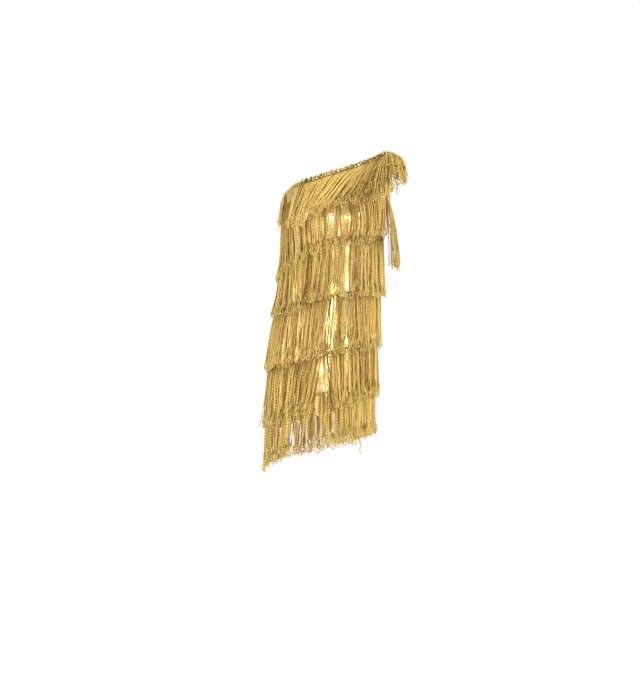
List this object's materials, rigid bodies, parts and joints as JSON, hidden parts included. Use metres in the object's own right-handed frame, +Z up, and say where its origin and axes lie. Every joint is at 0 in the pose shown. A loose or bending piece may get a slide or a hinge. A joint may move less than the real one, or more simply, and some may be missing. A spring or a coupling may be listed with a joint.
{
  "type": "fringed one-shoulder party dress",
  "caption": "Sleeveless one-shoulder sheath dress with a slanting sequin-edged neckline and slanting tiers of looped chainette fringe, hollow as worn.",
  "frame": {"origin": "under side of the shoulder strap in the middle of the shoulder seam, where the dress rests on the wearer", "axes": "+Z up along the dress, -Y the front, +X the wearer's left, the side of the strap"},
  "size_m": [0.4133, 0.2694, 0.908],
  "materials": {
    "lame": "metallic gold knit, satin sheen",
    "sequins": "sequin braid, mirror-bright gold",
    "chainette": "looped chainette cord, soft gold sheen"
  },
  "bodies": {
    "root": {"front_panel": "lame", "back_panel": "lame", "neckline_trim_front": "sequins", "neckline_trim_back": "sequins", "fringe_neckline_front": "chainette", "fringe_underarm_front": "chainette", "fringe_bust_front": "chainette", "fringe_waist_front": "chainette", "fringe_hip_front": "chainette", "fringe_thigh_front": "chainette", "fringe_hem_front": "chainette", "fringe_neckline_back": "chainette", "fringe_underarm_back": "chainette", "fringe_bust_back": "chainette", "fringe_waist_back": "chainette", "fringe_hip_back": "chainette", "fringe_thigh_back": "chainette", "fringe_hem_back": "chainette"}
  },
  "joints": []
}
